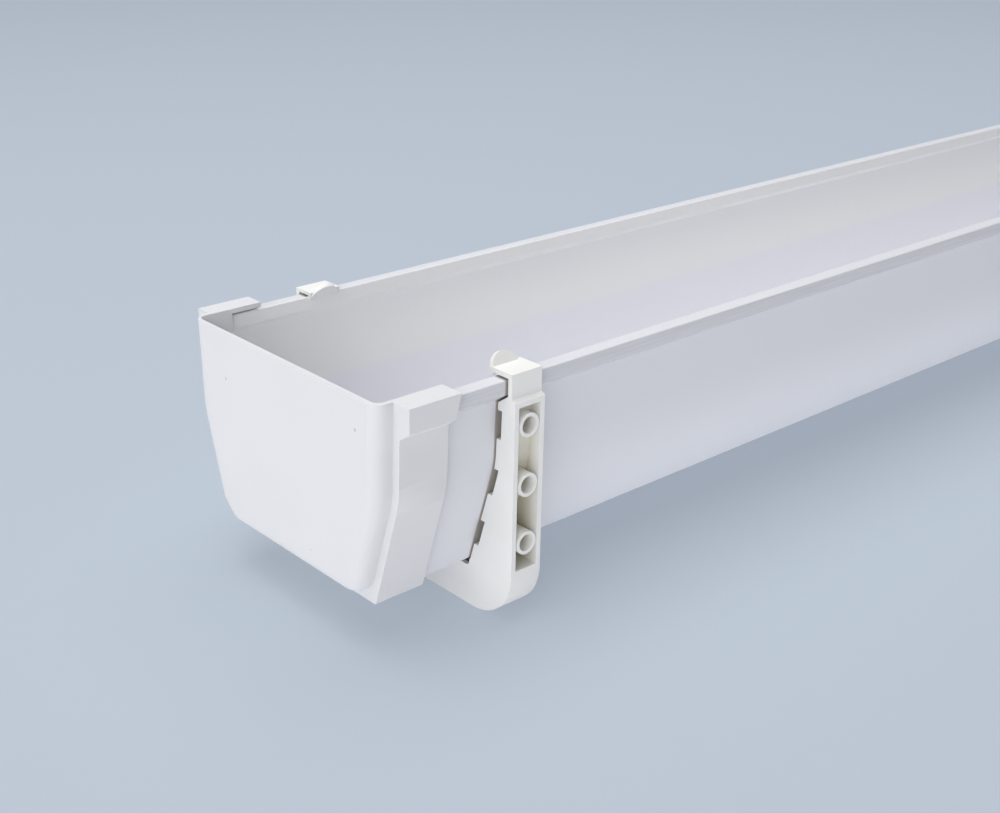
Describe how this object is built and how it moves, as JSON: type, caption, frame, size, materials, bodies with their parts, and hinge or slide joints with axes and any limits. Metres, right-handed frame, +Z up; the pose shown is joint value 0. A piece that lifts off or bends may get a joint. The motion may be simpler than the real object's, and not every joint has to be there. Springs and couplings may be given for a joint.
{
  "type": "gutter section",
  "caption": "Straight length of white plastic box gutter with a stop end over one end and a support bracket that screws to the eaves board and clips over both lips.",
  "frame": {"origin": "under the middle of the whole object, on the level of the support bracket's underside", "axes": "+X along the gutter from the stop end to the plain cut end, +Y from the eaves side towards the front lip, +Z up"},
  "size_m": [2.0114, 0.1574, 0.1247],
  "materials": {
    "channel_pvc": "extruded white uPVC, softly glossy, cool white",
    "stop_end_pvc": "injection moulded white uPVC, satin",
    "bracket_pvc": "injection moulded warm white plastic, fine satin"
  },
  "bodies": {
    "root": {"gutter_channel": "channel_pvc", "stop_end": "stop_end_pvc", "support_bracket": "bracket_pvc"}
  },
  "joints": []
}
